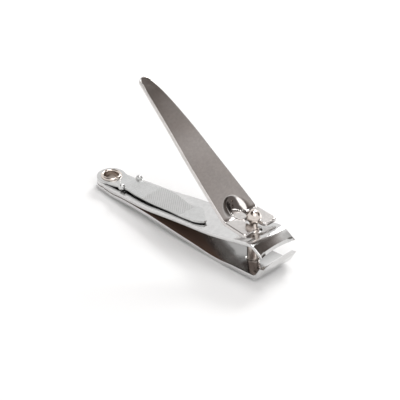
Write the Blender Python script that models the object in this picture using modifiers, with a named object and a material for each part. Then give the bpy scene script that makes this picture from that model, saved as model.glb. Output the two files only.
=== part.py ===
"""Folding nail clipper with a swing-out file, modelled in metres with +Z up.

+X runs from the rear eyelet to the jaws, and the clipper lies on the plane z = 0.
Its lever is flipped over to the working position, and the jaws stand open.
"""
import bpy
import bmesh
import numpy as np
from mathutils import Matrix, Vector

MM = 0.001

# Driving dimensions, in millimetres. X is measured from the eyelet's axis.
REAR_TO_ORIGIN = 28.95         # eyelet axis to the middle of the clipper's length
STRIP = 1.15                   # thickness of the two spring arms
GAP = 0.08                     # clearance between pieces that touch or turn
REAR_RADIUS = 3.9              # rounded rear end of the arms and the file
ARM_REAR_TURN = 80             # the round end runs this many degrees each side of straight ahead
FILE_REAR_TURN = 62
JAW_HALF_WIDTH = 6.0
JAW_CURVE = 0.8                # how far both cutting edges curve in at the middle
JAW_TRIM = 0.05                # length ground off the jaws' front corners
BLANK_HALF_WIDTH = 7.0         # half width of a strip before its outline is cut
BELOW_ALL = -2.0               # heights that the cutters run between
ABOVE_ALL = 45.0

ARM_PLAN = [(0.0, 3.9), (6.0, 4.55), (12.0, 5.05), (22.0, 5.6), (32.0, 5.88), (42.0, 5.95), (54.0, 6.0),
            (64.0, 6.0)]
LOWER_UNDERSIDE = [(-4.5, 0.40), (4.1, 0.40), (9.0, 1.02), (14.0, 1.36), (19.0, 1.45), (25.0, 1.25),
                   (33.0, 0.80), (39.0, 0.38), (43.5, 0.0), (46.5, 0.0), (50.0, 0.40), (54.0, 0.66),
                   (57.8, 0.88)]
UPPER_UNDERSIDE = [(-4.5, 1.63), (4.1, 1.63), (9.0, 2.28), (13.5, 2.63), (18.2, 3.05), (24.5, 4.05),
                   (30.6, 5.03), (36.5, 5.78), (42.0, 6.45), (47.8, 7.60), (52.5, 8.78), (56.4, 9.60)]
LOWER_LIP = [(59.0, 1.5), (61.0, 5.0)]      # bend and end of the lip's centre line
UPPER_LIP = [(57.6, 10.4), (60.4, 8.7)]
LOWER_EDGE = (61.8, 5.27)      # cutting edges at the jaws' corners
UPPER_EDGE = (61.2, 8.31)
LIP_GRIND = 0.35               # how much shorter each lip is inside its cutting edge
LOWER_BEND = 0.9               # size of the bend into each lip
UPPER_BEND = 1.1

HINGE_X = 14.0                 # where the upper arm flexes
HINGE_JOIN = 0.5               # straight length from the hinge into the front part's curve

EYELET_BORE = 1.95
EYELET_TUBE = 2.3
EYELET_RIM = 2.85
FILE_STRIP = 0.55
FILE_BOTTOM = [(-4.5, 2.86), (2.8, 2.86), (8.0, 3.85), (13.5, 4.28), (18.0, 4.66), (22.0, 5.15),
               (27.5, 6.00), (32.0, 6.58), (39.5, 7.55)]
FILE_NEAR_EDGE = [(6.2, 3.05), (8.6, 2.95), (13.0, 3.95), (19.0, 4.5), (27.0, 5.0), (32.5, 5.3), (35.7, 5.1),
                  (38.0, 4.35)]
FILE_TIP = [(39.1, -3.2), (38.7, -2.5), (37.0, -1.45), (35.4, 0.1), (33.5, 1.35), (31.5, 1.5)]
FILE_FAR_EDGE = [(30.3, 0.95), (27.2, 1.5), (22.7, 3.0), (19.0, 3.55), (13.5, 3.1), (8.6, 2.95), (6.2, 3.05)]
TAB_X = 7.6                    # the two pressed tabs beside the file's waist
TAB_Y = 3.15
TAB_RADIUS = 0.95
TAB_RISE = 0.35                # height of a tab's middle above the middle of the file's strip

PIN_X = 52.5
BALL_Z = 14.02
BALL_RADIUS = 1.85
NECK_RADIUS = 1.1
SHANK_RADIUS = 1.5
SHANK_TOP = 10.0
SHANK_CHAMFER = 0.4
FLANGE_RADIUS = 2.4
FLANGE_BOTTOM = 0.04
FLANGE_TOP = 0.32
FLANGE_CHAMFER = 0.15
PIN_HOLE_RADIUS = 2.25         # clearance hole in the upper arm, slightly longer than wide
PIN_HOLE_STRETCH = 1.06

LEVER_STRIP = 1.05
LEVER_TOP = [(12.8, 38.45), (18.2, 35.3), (26.7, 29.3), (34.7, 22.95), (42.5, 16.95), (48.0, 12.75),
             (55.1, 12.2)]
LEVER_BEND_RADIUS = 1.6
LEVER_PLAN = [(14.6, 1.75), (18.2, 2.5), (26.7, 3.7), (34.7, 4.6), (42.5, 5.35), (48.0, 5.75), (55.0, 5.85)]
LEVER_TIP_X = 12.9
FOOT_CORNER = 0.7              # rounding of the foot's two outer corners
SLOT_HALF_WIDTH = 1.4
SLOT_REAR = 50.0
SLOT_MOUTH = 2.7
POCKET_X = 48.2
POCKET_FLOOR = 12.15
POCKET_HALF_LENGTH = 3.1
POCKET_HALF_WIDTH = 2.6
POCKET_FLARE = 1.3
POCKET_HEIGHT = 7.0
BULGE_WALL = 0.95
BULGE_BOTTOM = 11.15
BULGE_REACH = 6.5              # length of lever, each way from the pocket, that the bulge grows from
BULGE_HALF_WIDTH = 5.5
BULGE_SKIN = 0.02              # how far the bulge stays below the lever's upper face
CUP_OVERRUN = 0.5              # how far the bulge's cup runs below its flat bottom

CHROME = (0.62, 0.61, 0.60, 1.0)
NICKEL = (0.66, 0.58, 0.52, 1.0)


def clear_scene():
    for old in list(bpy.data.objects):
        bpy.data.objects.remove(old, do_unlink=True)


def make_collection(name):
    group = bpy.data.collections.new(name)
    bpy.context.scene.collection.children.link(group)
    return group


def make_material(name, colour, roughness):
    material = bpy.data.materials.new(name)
    material.use_nodes = True
    shader = material.node_tree.nodes["Principled BSDF"]
    shader.inputs["Base Color"].default_value = colour
    shader.inputs["Metallic"].default_value = 1.0
    shader.inputs["Roughness"].default_value = roughness
    return material


def smooth_value(stations, x):
    """A smooth curve through a few stations, which never swings past them (monotone Hermite)."""
    table = np.array(stations)
    chords = np.diff(table[:, 1]) / np.diff(table[:, 0])
    product = chords[:-1] * chords[1:]
    harmonic = 2 * product / np.where(product > 0, chords[:-1] + chords[1:], 1.0)
    inner = np.where(product > 0, harmonic, 0.0)
    slopes = np.concatenate([[chords[0]], inner, [chords[-1]]])
    i = np.clip(np.searchsorted(table[:, 0], x) - 1, 0, len(table) - 2)
    span = table[i + 1, 0] - table[i, 0]
    t = np.clip((x - table[i, 0]) / span, 0.0, 1.0)
    start = (1 + 2 * t) * (1 - t) ** 2 * table[i, 1] + t * (1 - t) ** 2 * span * slopes[i]
    end = t ** 2 * (3 - 2 * t) * table[i + 1, 1] + t ** 2 * (t - 1) * span * slopes[i + 1]
    return start + end


def arc(centre, radius, start, end, count):
    angles = np.radians(np.linspace(start, end, count))
    ring = np.stack([np.cos(angles), np.sin(angles)], axis=1)
    return np.array(centre) + radius * ring


def rounded_corner(before, corner, after, radius, count=6):
    """The corner of a bent line replaced by a smooth arc-like curve that starts radius away."""
    before, corner, after = np.array(before), np.array(corner), np.array(after)
    first = corner + (before - corner) * radius / np.linalg.norm(before - corner)
    last = corner + (after - corner) * radius / np.linalg.norm(after - corner)
    t = np.linspace(0.0, 1.0, count)[:, None]
    return first * (1 - t) ** 2 + corner * 2 * t * (1 - t) + last * t ** 2


def side_normals(line):
    run = np.gradient(line, axis=0)
    run /= np.linalg.norm(run, axis=1)[:, None]
    return np.stack([-run[:, 1], run[:, 0]], axis=1)


def link(name, mesh, group, frame):
    obj = bpy.data.objects.new(name, mesh)
    group.objects.link(obj)
    obj.parent = frame
    return obj


def flat_prism(name, outline, low, high, group, frame, standing=False):
    """A flat outline as a filled 2D curve with thickness, turned into a closed mesh.

    Lying, the outline is in XY and runs from z low to high. Standing, it is in XZ and runs in y.
    """
    curve = bpy.data.curves.new(name, "CURVE")
    curve.dimensions = "2D"
    curve.fill_mode = "BOTH"
    curve.extrude = (high - low) / 2 * MM
    spline = curve.splines.new("POLY")
    spline.points.add(len(outline) - 1)
    for point, (u, v) in zip(spline.points, outline):
        point.co = (u * MM, v * MM, 0.0, 1.0)
    spline.use_cyclic_u = True
    drawn = bpy.data.objects.new(name + "_outline", curve)
    group.objects.link(drawn)
    evaluated = drawn.evaluated_get(bpy.context.evaluated_depsgraph_get())
    mesh = bpy.data.meshes.new_from_object(evaluated)
    bpy.data.objects.remove(drawn, do_unlink=True)
    middle = Matrix.Translation((0.0, 0.0, (low + high) / 2 * MM))
    turn = Matrix.Rotation(np.pi / 2, 4, "X") if standing else Matrix.Identity(4)
    mesh.transform(turn @ middle)
    weld(mesh)
    return link(name, mesh, group, frame)


def weld(mesh):
    work = bmesh.new()
    work.from_mesh(mesh)
    bmesh.ops.remove_doubles(work, verts=work.verts, dist=1e-7)
    bmesh.ops.recalc_face_normals(work, faces=work.faces)
    work.to_mesh(mesh)
    work.free()


def turned(name, profile, group, frame, steps=36):
    """A closed or axis-to-axis profile of (radius, z) points, turned about Z by a Screw modifier."""
    closed = profile[0][0] > 0
    points = [(r * MM, 0.0, z * MM) for r, z in profile]
    edges = [(i, i + 1) for i in range(len(points) - 1)]
    if closed:
        edges.append((len(points) - 1, 0))
    mesh = bpy.data.meshes.new(name)
    mesh.from_pydata(points, edges, [])
    obj = link(name, mesh, group, frame)
    screw = obj.modifiers.new("turn", "SCREW")
    screw.steps = steps
    screw.render_steps = steps
    screw.use_merge_vertices = True
    screw.merge_threshold = 1e-6
    return obj


def combine(obj, tool, operation):
    step = obj.modifiers.new(operation.lower(), "BOOLEAN")
    step.operation = operation
    step.solver = "EXACT"
    step.object = tool


def make_cutter(obj):
    obj.hide_render = True
    obj.display_type = "WIRE"
    return obj


def adopt(obj, name, group, frame):
    """Names a new primitive, and moves it to its collection and under the clipper's empty."""
    obj.name = name
    for old in list(obj.users_collection):
        old.objects.unlink(obj)
    group.objects.link(obj)
    obj.parent = frame
    return make_cutter(obj)


def round_cutter(name, x, radius, group, frame, stretch=1.0):
    depth = ABOVE_ALL - BELOW_ALL
    bpy.ops.mesh.primitive_cylinder_add(vertices=48, radius=radius * MM, depth=depth * MM)
    obj = adopt(bpy.context.object, name, group, frame)
    obj.data.transform(Matrix.Diagonal((stretch, 1.0, 1.0, 1.0)))
    obj.location = Vector((x, 0.0, BELOW_ALL + depth / 2)) * MM
    return obj


def plan_cutter(name, outline, group, frame):
    """An outline in plan, as tall as anything that it cuts."""
    return make_cutter(flat_prism(name, outline, BELOW_ALL, ABOVE_ALL, group, frame))


def strip_blank(name, outline, group, frame):
    """A side view made as wide as an uncut strip."""
    return flat_prism(name, outline, -BLANK_HALF_WIDTH, BLANK_HALF_WIDTH, group, frame, standing=True)


def set_pivot(obj, x, z):
    """Moves the object's origin to its joint axis and leaves its shape where it is."""
    shift = Vector((x, 0.0, z)) * MM
    obj.data.transform(Matrix.Translation(-shift))
    obj.location = shift


def finish(obj, material):
    obj.data.materials.clear()
    obj.data.materials.append(material)
    obj.data.shade_smooth()
    obj.data.set_sharp_from_angle(angle=np.radians(35))


def arm_line(underside, lip, bend):
    """Centre line of an arm: its smooth underside raised by half the strip, then the bent lip."""
    x = np.linspace(underside[0][0], underside[-1][0], 48)
    bottom = np.stack([x, smooth_value(underside, x)], axis=1)
    middle = bottom + side_normals(bottom) * STRIP / 2
    corner = rounded_corner(middle[-1], lip[0], lip[1], bend)
    return np.concatenate([middle, corner, [lip[1]]])


def strip_outline(line, thickness):
    """A centre line given its thickness."""
    normal = side_normals(line) * thickness / 2
    return np.concatenate([line - normal, (line + normal)[::-1]])


def lip_outline(line, edge, inside_is_top):
    """An arm's side view: its strip, with the inside of the lip ground back from the cutting edge."""
    normal = side_normals(line) * STRIP / 2
    run = line[-1] - line[-2]
    grind = run / np.linalg.norm(run) * LIP_GRIND
    top = line + normal
    bottom = line - normal
    inside = top if inside_is_top else bottom
    inside[-1] = inside[-1] - grind
    return np.concatenate([bottom, [edge], top[::-1]])


def arm_plan(front):
    """Plan outline of an arm: round rear end, sides that widen, and a front edge that curves in."""
    x = np.linspace(1.0, front, 30)
    side = smooth_value(ARM_PLAN, x)
    near = np.stack([x, -side], axis=1)
    y = np.linspace(-1.0, 1.0, 15)[1:-1]
    edge = np.stack([front - JAW_CURVE * (1 - y ** 2), y * JAW_HALF_WIDTH], axis=1)
    rear = arc((0.0, 0.0), REAR_RADIUS, ARM_REAR_TURN, 360 - ARM_REAR_TURN, 24)
    return np.concatenate([near, edge, near[::-1] * (1, -1), rear])


def make_arm(name, outline, front, group, cutters, frame):
    arm = strip_blank(name, outline, group, frame)
    combine(arm, plan_cutter(name + "_plan", arm_plan(front), cutters, frame), "INTERSECT")
    return arm


def make_lower_arm(group, cutters, frame, material):
    line = arm_line(LOWER_UNDERSIDE, LOWER_LIP, LOWER_BEND)
    outline = lip_outline(line, LOWER_EDGE, inside_is_top=True)
    arm = make_arm("lower_arm", outline, LOWER_EDGE[0] - JAW_TRIM, group, cutters, frame)
    eyelet_hole = round_cutter("lower_eyelet_hole", 0.0, EYELET_TUBE + GAP, cutters, frame)
    pin_hole = round_cutter("lower_pin_hole", PIN_X, SHANK_RADIUS + GAP, cutters, frame)
    combine(arm, eyelet_hole, "DIFFERENCE")
    combine(arm, pin_hole, "DIFFERENCE")
    finish(arm, material)


def hinge_height():
    return float(smooth_value(UPPER_UNDERSIDE, np.array([HINGE_X]))[0]) + STRIP / 2


def make_upper_arm(group, cutters, frame, material):
    """The upper spring strip in two nodes, which part along a round cut where the strip flexes."""
    z = hinge_height()
    line = arm_line(UPPER_UNDERSIDE, UPPER_LIP, UPPER_BEND)
    rear_line = line[line[:, 0] < HINGE_X]
    front_line = np.concatenate([[(HINGE_X, z)], line[line[:, 0] > HINGE_X + HINGE_JOIN]])

    rear_outline = strip_outline(rear_line, STRIP)
    root = make_arm("upper_arm_root", rear_outline, UPPER_EDGE[0], group, cutters, frame)
    eyelet_hole = round_cutter("upper_eyelet_hole", 0.0, EYELET_TUBE + GAP, cutters, frame)
    combine(root, eyelet_hole, "DIFFERENCE")
    socket = arc((HINGE_X, z), STRIP / 2 + GAP, 0, 360, 33)[:-1]
    combine(root, make_cutter(strip_blank("knuckle_space", socket, cutters, frame)), "DIFFERENCE")
    finish(root, material)

    outline = lip_outline(front_line, UPPER_EDGE, inside_is_top=False)
    arm = make_arm("upper_arm", outline, UPPER_EDGE[0] - JAW_TRIM, group, cutters, frame)
    pin_hole = round_cutter("upper_pin_hole", PIN_X, PIN_HOLE_RADIUS, cutters, frame, PIN_HOLE_STRETCH)
    knuckle = arc((HINGE_X, z), STRIP / 2, 0, 360, 33)[:-1]
    width = float(smooth_value(ARM_PLAN, np.array([HINGE_X]))[0])
    round_end = make_cutter(flat_prism("knuckle", knuckle, -width, width, cutters, frame, True))
    combine(arm, round_end, "UNION")
    combine(arm, pin_hole, "DIFFERENCE")
    finish(arm, material)
    return arm


def make_eyelet(group, frame, material):
    """A rolled hollow rivet: a tube with a rounded rim at each end."""
    rim_top = FILE_BOTTOM[0][1] + FILE_STRIP + GAP
    rim_low = LOWER_UNDERSIDE[0][1] - GAP
    centre = (EYELET_BORE + EYELET_RIM) / 2
    roll = (EYELET_RIM - EYELET_BORE) / 2
    over = arc((centre, rim_top), roll, 180, 0, 9)
    inside = [(EYELET_TUBE, rim_top), (EYELET_TUBE, rim_low)]
    under = arc((0.0, 0.0), 1.0, 0, -180, 9) * (roll, rim_low) + (centre, rim_low)
    turned_profile = np.concatenate([over, inside, under])
    eyelet = turned("eyelet", turned_profile, group, frame)
    finish(eyelet, material)


def file_outline():
    near = [(x, -y) for x, y in FILE_NEAR_EDGE]
    rear = arc((0.0, 0.0), REAR_RADIUS, FILE_REAR_TURN, 360 - FILE_REAR_TURN, 26)
    return np.concatenate([near, FILE_TIP, FILE_FAR_EDGE, rear])


def make_file(group, cutters, frame, material):
    """A thin bowed blade with a waist, two pressed tabs beside it and a hooked tip."""
    x = np.linspace(FILE_BOTTOM[0][0], FILE_BOTTOM[-1][0], 44)
    bottom = np.stack([x, smooth_value(FILE_BOTTOM, x)], axis=1)
    line = bottom + side_normals(bottom) * FILE_STRIP / 2
    blade = strip_blank("nail_file", strip_outline(line, FILE_STRIP), group, frame)
    combine(blade, plan_cutter("file_plan", file_outline(), cutters, frame), "INTERSECT")
    tab_z = float(smooth_value(FILE_BOTTOM, np.array([TAB_X]))[0]) + FILE_STRIP / 2 + TAB_RISE
    for name, side in (("near_tab", -1), ("far_tab", 1)):
        bpy.ops.mesh.primitive_uv_sphere_add(segments=20, ring_count=10, radius=TAB_RADIUS * MM)
        tab = adopt(bpy.context.object, name, cutters, frame)
        tab.location = Vector((TAB_X, side * TAB_Y, tab_z)) * MM
        combine(blade, tab, "UNION")
    hole = round_cutter("file_hole", 0.0, EYELET_TUBE + GAP, cutters, frame)
    combine(blade, hole, "DIFFERENCE")
    finish(blade, material)
    return blade


def make_pin(group, frame, material):
    """A turned post: ball head, neck, shank and a thin flange under the lower arm."""
    neck_angle = np.degrees(np.arcsin(NECK_RADIUS / BALL_RADIUS))
    ball = arc((0.0, BALL_Z), BALL_RADIUS, 90, -90 + neck_angle, 16)
    ball[0, 0] = 0.0
    post = [(NECK_RADIUS, SHANK_TOP + SHANK_CHAMFER), (SHANK_RADIUS, SHANK_TOP),
            (SHANK_RADIUS, FLANGE_TOP), (FLANGE_RADIUS, FLANGE_TOP),
            (FLANGE_RADIUS - FLANGE_CHAMFER, FLANGE_BOTTOM), (0.0, FLANGE_BOTTOM)]
    pin = turned("pin", np.concatenate([ball, post]), group, frame)
    pin.location = Vector((PIN_X, 0.0, 0.0)) * MM
    finish(pin, material)


def lever_line():
    """Side view of the lever's upper face: a long slightly bowed handle, a bend and a short foot."""
    bend, toe = LEVER_TOP[-2], LEVER_TOP[-1]
    handle = LEVER_TOP[:-1]
    x = np.linspace(handle[0][0], bend[0] - LEVER_BEND_RADIUS, 30)
    upper = np.stack([x, smooth_value(handle, x)], axis=1)
    corner = rounded_corner(upper[-1], bend, toe, LEVER_BEND_RADIUS, 8)
    return np.concatenate([upper, corner[1:], [toe]])


def lever_plan():
    """Plan of the lever: round tip, sides that widen to the foot, and a slot open to the front."""
    x = np.linspace(LEVER_PLAN[0][0], LEVER_PLAN[-1][0], 24)
    near = np.stack([x, -smooth_value(LEVER_PLAN, x)], axis=1)
    front, half = near[-1, 0], near[-1, 1]
    near_corner = rounded_corner(near[-2], (front, half), (front, 0.0), FOOT_CORNER)
    mouth = rounded_corner((front, half), (front, -SLOT_HALF_WIDTH), (SLOT_REAR, -SLOT_HALF_WIDTH),
                           SLOT_MOUTH - SLOT_HALF_WIDTH)
    slot_end = arc((SLOT_REAR + SLOT_HALF_WIDTH, 0.0), SLOT_HALF_WIDTH, 270, 90, 13)
    half_outline = np.concatenate([near[:-1], near_corner, mouth])
    tip_radius = LEVER_PLAN[0][0] - LEVER_TIP_X
    tip = arc((0.0, 0.0), 1.0, 90, 270, 13)[1:-1] * (tip_radius, LEVER_PLAN[0][1]) + (LEVER_PLAN[0][0], 0.0)
    return np.concatenate([half_outline, slot_end, half_outline[::-1] * (1, -1), tip])


def oval_cup(name, x, low, high, half_length, half_width, flare, group, frame):
    """A cup-shaped solid: an oval cone that widens upwards."""
    mesh = bpy.data.meshes.new(name)
    work = bmesh.new()
    bmesh.ops.create_cone(work, cap_ends=True, segments=40, radius1=1.0, radius2=flare, depth=1.0)
    work.to_mesh(mesh)
    work.free()
    size = Matrix.Diagonal((half_length * MM, half_width * MM, (high - low) * MM, 1.0))
    mesh.transform(Matrix.Translation(Vector((x, 0.0, (low + high) / 2)) * MM) @ size)
    return make_cutter(link(name, mesh, group, frame))


def make_lever(group, cutters, frame, material):
    """The lever with its thumb pocket pressed through to a bulge below, and the pin's slot."""
    top = lever_line()
    bottom = top - side_normals(top) * LEVER_STRIP
    lever = strip_blank("lever", np.concatenate([bottom, top[::-1]]), group, frame)

    near_pocket = top[np.abs(top[:, 0] - POCKET_X) < BULGE_REACH]
    below = np.array([(near_pocket[-1, 0], BULGE_BOTTOM), (near_pocket[0, 0], BULGE_BOTTOM)])
    under_top = np.concatenate([near_pocket - (0.0, BULGE_SKIN), below])[::-1]
    bulge = make_cutter(flat_prism("pocket_bulge", under_top, -BULGE_HALF_WIDTH, BULGE_HALF_WIDTH,
                                   cutters, frame, standing=True))
    cup_low = BULGE_BOTTOM - CUP_OVERRUN
    outer = oval_cup("bulge_wall", POCKET_X, cup_low, cup_low + POCKET_HEIGHT,
                     POCKET_HALF_LENGTH + BULGE_WALL, POCKET_HALF_WIDTH + BULGE_WALL,
                     POCKET_FLARE, cutters, frame)
    inner = oval_cup("pocket_space", POCKET_X, POCKET_FLOOR, POCKET_FLOOR + POCKET_HEIGHT,
                     POCKET_HALF_LENGTH, POCKET_HALF_WIDTH, POCKET_FLARE, cutters, frame)
    combine(bulge, outer, "INTERSECT")
    combine(lever, bulge, "UNION")
    combine(lever, inner, "DIFFERENCE")
    combine(lever, plan_cutter("lever_plan", lever_plan(), cutters, frame), "INTERSECT")
    finish(lever, material)
    return lever


def main():
    clear_scene()
    pieces = make_collection("nail_clipper")
    cutters = make_collection("nail_clipper_cutters")
    frame = bpy.data.objects.new("clipper_frame", None)
    pieces.objects.link(frame)
    frame.location = (-REAR_TO_ORIGIN * MM, 0.0, 0.0)
    chrome = make_material("chrome", CHROME, 0.12)
    lever_chrome = make_material("lever_chrome", CHROME, 0.18)
    nickel = make_material("nickel", NICKEL, 0.22)
    file_steel = make_material("file_steel", CHROME, 0.3)

    make_lower_arm(pieces, cutters, frame, chrome)
    upper_arm = make_upper_arm(pieces, cutters, frame, chrome)
    make_eyelet(pieces, frame, nickel)
    make_file(pieces, cutters, frame, file_steel)
    make_pin(pieces, frame, nickel)
    lever = make_lever(pieces, cutters, frame, lever_chrome)
    set_pivot(upper_arm, HINGE_X, hinge_height())
    set_pivot(lever, PIN_X, BALL_Z)


main()
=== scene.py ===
"""Looks of a folding nail clipper: two pressed chrome arms, a raised lever, a file, a pin and an eyelet.

Each piece is a blank cut from strip, given as a flat layout of (run, across) points, and bent along a
side view. Lengths are in millimetres along +X from the eyelet's axis until a piece is put in the scene.
"""
import math

import bpy
import numpy as np
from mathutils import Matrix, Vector


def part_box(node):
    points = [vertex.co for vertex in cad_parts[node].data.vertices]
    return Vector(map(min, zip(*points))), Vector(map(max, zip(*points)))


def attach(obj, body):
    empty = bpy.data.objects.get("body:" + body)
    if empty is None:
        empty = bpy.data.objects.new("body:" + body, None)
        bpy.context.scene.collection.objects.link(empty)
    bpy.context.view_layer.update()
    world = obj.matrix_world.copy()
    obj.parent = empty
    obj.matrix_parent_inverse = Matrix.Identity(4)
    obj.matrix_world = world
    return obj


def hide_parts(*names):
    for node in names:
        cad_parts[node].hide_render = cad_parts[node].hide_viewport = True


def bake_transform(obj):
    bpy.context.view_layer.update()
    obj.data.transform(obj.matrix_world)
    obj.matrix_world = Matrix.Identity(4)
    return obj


bl_info = {
    "name": "Nail clipper looks",
    "version": (1, 0, 0),
    "blender": (4, 5, 0),
    "location": "3D View > Sidebar > Clipper",
    "description": "Builds the visible pieces, finishes and stage of a folding nail clipper",
    "category": "Object",
}

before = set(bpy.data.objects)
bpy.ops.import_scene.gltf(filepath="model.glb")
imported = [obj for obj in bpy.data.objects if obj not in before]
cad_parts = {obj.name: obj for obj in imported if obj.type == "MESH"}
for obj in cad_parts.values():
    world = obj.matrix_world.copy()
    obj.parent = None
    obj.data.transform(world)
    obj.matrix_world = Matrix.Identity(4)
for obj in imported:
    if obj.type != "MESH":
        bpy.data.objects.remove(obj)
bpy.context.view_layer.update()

MM = 0.001


def axis_of(node):
    """X of the middle of a round node, in metres."""
    low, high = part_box(node)
    return (low.x + high.x) / 2


EYELET_AXIS = axis_of("eyelet")
PIN_X = (axis_of("pin") - EYELET_AXIS) / MM

# Side views and plans of the strips: (X, height) or (X, half width) stations in millimetres.
ARM_PLAN = [(0.0, 3.9), (6.0, 4.55), (12.0, 5.05), (22.0, 5.6), (32.0, 5.88), (42.0, 5.95), (54.0, 6.0),
            (64.0, 6.0)]
LOWER_UNDERSIDE = [(-4.5, 0.40), (4.1, 0.40), (9.0, 1.02), (14.0, 1.36), (19.0, 1.45), (25.0, 1.25),
                   (33.0, 0.80), (39.0, 0.38), (43.5, 0.0), (46.5, 0.0), (50.0, 0.40), (54.0, 0.66),
                   (57.8, 0.88)]
UPPER_UNDERSIDE = [(-4.5, 1.63), (4.1, 1.63), (9.0, 2.28), (13.5, 2.63), (18.2, 3.05), (24.5, 4.05),
                   (30.6, 5.03), (36.5, 5.78), (42.0, 6.45), (47.8, 7.60), (52.5, 8.78), (56.4, 9.60)]
FILE_BOTTOM = [(-4.5, 2.86), (2.8, 2.86), (8.0, 3.85), (13.5, 4.28), (18.0, 4.66), (22.0, 5.15),
               (27.5, 6.00), (32.0, 6.58), (39.5, 7.55)]
FILE_NEAR_EDGE = [(1.83, 3.44), (4.0, 3.15), (6.2, 3.02), (8.6, 3.0), (13.0, 3.5), (19.0, 3.95), (27.0, 4.45),
                  (32.5, 4.9), (35.7, 4.9), (38.0, 4.35), (39.0, 3.6)]
FILE_FAR_EDGE = [(1.83, 3.44), (4.0, 3.15), (6.2, 3.02), (8.6, 2.95), (13.5, 3.1), (19.0, 3.55), (22.7, 3.0),
                 (27.2, 1.5), (30.3, 0.95), (31.9, 1.45), (33.5, 1.35), (35.4, 0.1), (37.0, -1.45),
                 (39.0, -2.9)]
LEVER_TOP = [(12.8, 38.45), (18.2, 35.3), (26.7, 29.3), (34.7, 22.95), (42.5, 16.95), (48.0, 12.75),
             (55.1, 12.2)]
LEVER_PLAN = [(14.6, 1.75), (18.2, 2.5), (26.7, 3.7), (34.7, 4.6), (42.5, 5.35), (48.0, 5.75), (55.0, 5.85)]
LOWER_LIP = [(59.0, 1.5), (61.0, 5.0)]
UPPER_LIP = [(57.6, 10.4), (60.4, 8.7)]
LOWER_EDGE = (61.73, 5.22)
UPPER_EDGE = (61.13, 8.36)

SAMPLE = 0.05                  # spacing of the points along a side view
ROUND_STEPS = 4                # rings in the rounding of an edge
COLUMNS = 28                   # quads across a strip
HELD_FLAT = 0.1                # width of the flat band beside a rounded edge
HOLE_RINGS = 7                 # rings of points round a hole
SAME_POINT = 1e-4              # points of neighbouring patches closer than this are one
SIDE_SOFTNESS = 0.25           # length over which a side view's corners are softened

# Layout of the arms and the file.
REAR_RUN = 3.8                 # end of the round rear patch
REAR_STEPS = 8                 # steps from the round end to REAR_RUN
REAR_ARC_POINTS = 49
ARM_REAR_TURN = math.radians(75)   # the round end starts this far from straight ahead
FILE_REAR_TURN = math.radians(60)
STRETCH_STEPS = 14             # steps along the patch round the pin's hole
PIN_REACH = 3.1                # half length of that patch
ARM_ROWS = 110
LIP_ROWS = 22
FACET_ROWS = 4
FILE_ROWS = 150
FACET = 1.0                    # run of the layout that becomes the ground face
LIP_GRIND = 0.35               # how far the lip's inner face stops short of the cutting edge
LOWER_RIM_GAP = 0.08           # between the eyelet's lower rim and the lower arm
LIP_CROWN = 0.3                # how far the upper lip falls off towards its corners
CROWN_RUN = 3.0                # length of arm over which that fall-off starts

# The lever's pocket: an outer oval round its rim, and an inner oval round its well.
POCKET_X = 47.8                # middle of both ovals
RIM_FRONT, RIM_REAR, RIM_HALF_WIDTH = 3.3, 4.1, 4.45
WELL_FRONT, WELL_REAR = 2.2, 3.5
RIM_SHARE = 0.45               # share of the pocket's depth that the rounded rim takes up
RIM_CURVE = 1.5                # power of the rim's fall: above 1 it is steeper at its inner side
WALL_SHARE = 0.24              # share of the inner oval that the steep wall takes up
POCKET_FLOOR = 12.15
FLOOR_FALL = 0.1               # fall of the floor towards the foot
FLOOR_LEVEL = 1.5              # the floor is level from this far in front of the middle
POCKET_GROWTH = 0.6            # growth of both ovals from the upper to the lower face
FLOOR_GROWTH = 1.6             # the floor's lower face lies this many growths below its upper face
HANDLE_ROWS = 90
POCKET_ROWS = 64
SLOT_ROWS = 8

# Painted shade between the arms and in the lever's pocket, in metres from the eyelet's axis.
# A pair gives where a mark is absent and where it is full.
SHADE_LINE_RAGGED = 0.0015           # how much clouds move the front line of the grey and brown painted shade
# how much clouds move the edge of the painted shade in the near corner
CORNER_SHADE_RAGGED = 0.0012
SHADE_LINE_SLANT = 2.3               # the painted shade's front line runs this far back for each step towards +Y
GREY_SHADE_LINE = (0.045, 0.0425)
BROWN_SHADE_LINE = (0.040, 0.032)
BEHIND_LIP = (0.058, 0.053)
CORNER_SHADE_REACH = (0.0042, 0.0032)
CORNER_SHADE_MIDDLE = (EYELET_AXIS + 0.0553, -0.0042, 0.0018)
POCKET_MIDDLE = (EYELET_AXIS + 0.0465, 0.0, 0.0138)
POCKET_SHADE_REACH = (0.0043, 0.0038)
# Colours of the painted shade: the darker inner faces between the arms, their near corner, grey and brown
# towards the rear, and the pocket's wall.
INSIDE_SHADE_TONE = (0.37, 0.365, 0.36, 1.0)
CORNER_SHADE_TONE = (0.10, 0.08, 0.072, 1.0)
GREY_SHADE_TONE = (0.24, 0.225, 0.215, 1.0)
BROWN_SHADE_TONE = (0.15, 0.10, 0.078, 1.0)
POCKET_SHADE_TONE = (0.10, 0.085, 0.078, 1.0)
# dark of the small nicks along worn edges, the metal's own wear
NICK_TONE = (0.09, 0.08, 0.075, 1.0)

# Studio: shades of the surroundings by height, a dark patch, and soft boxes as
# (name, azimuth, elevation, diameter in metres, power).
DARK_WAY = (0.40, 0.87, 0.28)
SKY_DARK = (0.10, 0.085, 0.075, 1.0)
SKY_STOPS = [(0.0, (1.0, 1.0, 1.0)), (0.52, (1.0, 1.0, 1.0)), (0.66, (0.97, 0.965, 0.96)),
             (0.71, (0.48, 0.44, 0.42)), (0.75, (0.28, 0.25, 0.235)), (0.79, (0.11, 0.09, 0.08)),
             (1.0, (0.05, 0.042, 0.038))]
SOFT_BOXES = [("rear_left_box", 198.0, 37.0, 0.32, 3.4), ("front_box", 78.0, 60.0, 1.0, 3.9),
              ("top_box", 200.0, 74.0, 0.4, 2.3)]


def length_property(name, description, default):
    return bpy.props.FloatProperty(name=name, description=description, default=default * MM, min=0.0,
                                   precision=5, unit="LENGTH")


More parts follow.
